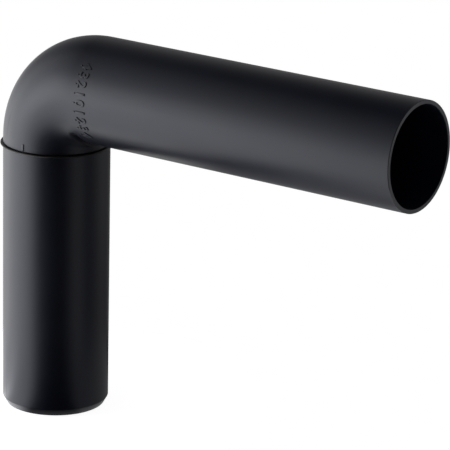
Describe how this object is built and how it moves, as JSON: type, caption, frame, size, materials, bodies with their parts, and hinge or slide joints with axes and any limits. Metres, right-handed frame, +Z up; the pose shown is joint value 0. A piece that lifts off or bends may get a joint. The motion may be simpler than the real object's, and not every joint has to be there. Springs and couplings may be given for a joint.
{
  "type": "waste bend with drop tube",
  "caption": "Black plastic waste pipe connector: a right-angle bend with a long horizontal leg, pushed through a rubber lip seal into a vertical drop tube of the same diameter.",
  "frame": {"origin": "centre of the drop tube's foot, on the tube's axis", "axes": "+Z up along the drop tube's axis, +X along the horizontal leg towards its mouth"},
  "size_m": [0.4037, 0.0948, 0.3267],
  "materials": {
    "pipe_plastic": "satin extruded black polyethylene",
    "bend_plastic": "satin moulded black polyethylene",
    "seal_rubber": "matte black rubber"
  },
  "bodies": {
    "tube": {"drop_tube": "pipe_plastic"},
    "seal": {"lip_seal": "seal_rubber"},
    "bend": {"outlet_bend": "bend_plastic"}
  },
  "joints": [
    {"name": "bend_turn", "type": "hinge", "parent": "tube", "child": "seal", "pos_m": [0, 0, 0.2289], "axis": [0, 0, 1], "continuous": true},
    {"name": "bend_lift", "type": "slide", "parent": "seal", "child": "bend", "axis": [0, 0, 1], "range_m": [0, 0.06]}
  ]
}
